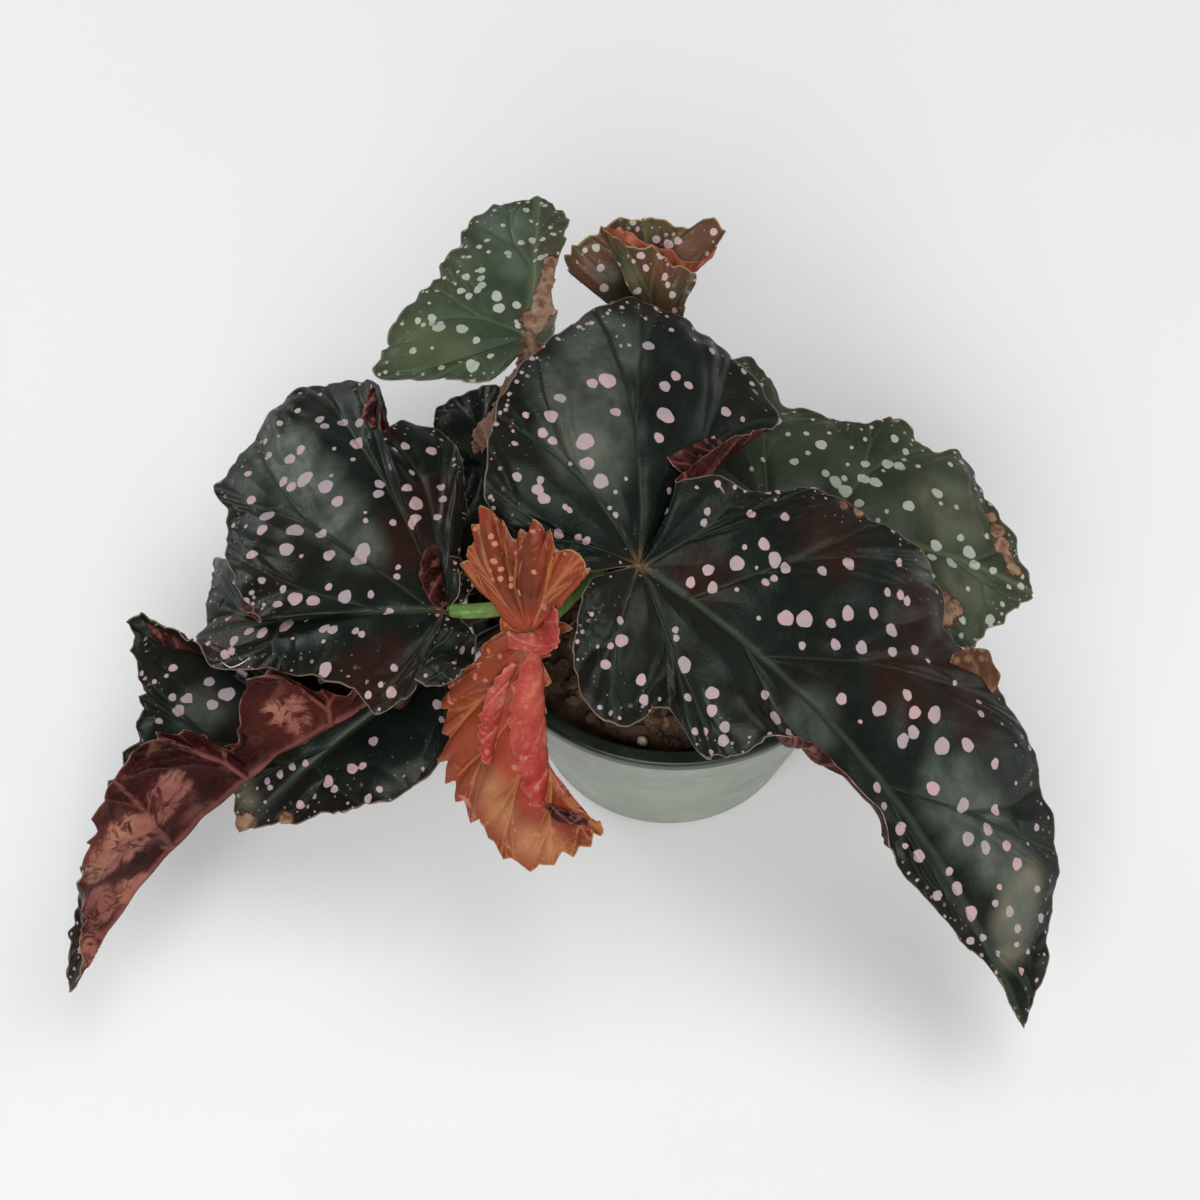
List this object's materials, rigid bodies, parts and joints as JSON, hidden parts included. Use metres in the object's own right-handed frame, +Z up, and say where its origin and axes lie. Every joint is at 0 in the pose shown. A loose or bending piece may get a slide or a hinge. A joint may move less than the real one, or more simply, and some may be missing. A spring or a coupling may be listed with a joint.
{
  "type": "potted begonia",
  "caption": "Cane begonia with large, lobed, pale-spotted dark leaves, burgundy undersides and a folded leaf, in a nursery pot that stands in a pale sage outer pot.",
  "frame": {"origin": "centre of the outer pot's flat base, on the surface that the pot stands on", "axes": "+Z up along the pot's axis, +X along the plant's longest spread, towards the right as seen from the front, -Y towards the front"},
  "size_m": [0.2574, 0.208, 0.1434],
  "materials": {
    "sage_plastic": "satin",
    "green_plastic": "satin, with fine scuffs",
    "bark_mix": "rough, moist",
    "prill_coat": "smooth shell",
    "stem_skin": "smooth living skin with fine hairs",
    "leaf_skin": "glossy above, burgundy below, pale spots",
    "young_leaf_skin": "glossy, orange red, pale spots"
  },
  "bodies": {
    "root": {"outer_pot": "sage_plastic", "grow_pot": "green_plastic", "potting_mix": "bark_mix", "fertiliser_prill": "prill_coat", "cane_left": "stem_skin", "cane_right": "stem_skin", "leaf_front_right": "leaf_skin", "leaf_left": "leaf_skin", "leaf_folded": "leaf_skin", "leaf_low_left": "leaf_skin", "leaf_young": "young_leaf_skin", "leaf_back_left": "leaf_skin", "leaf_curled": "leaf_skin", "leaf_right": "leaf_skin", "leaf_inner": "leaf_skin"}
  },
  "joints": []
}
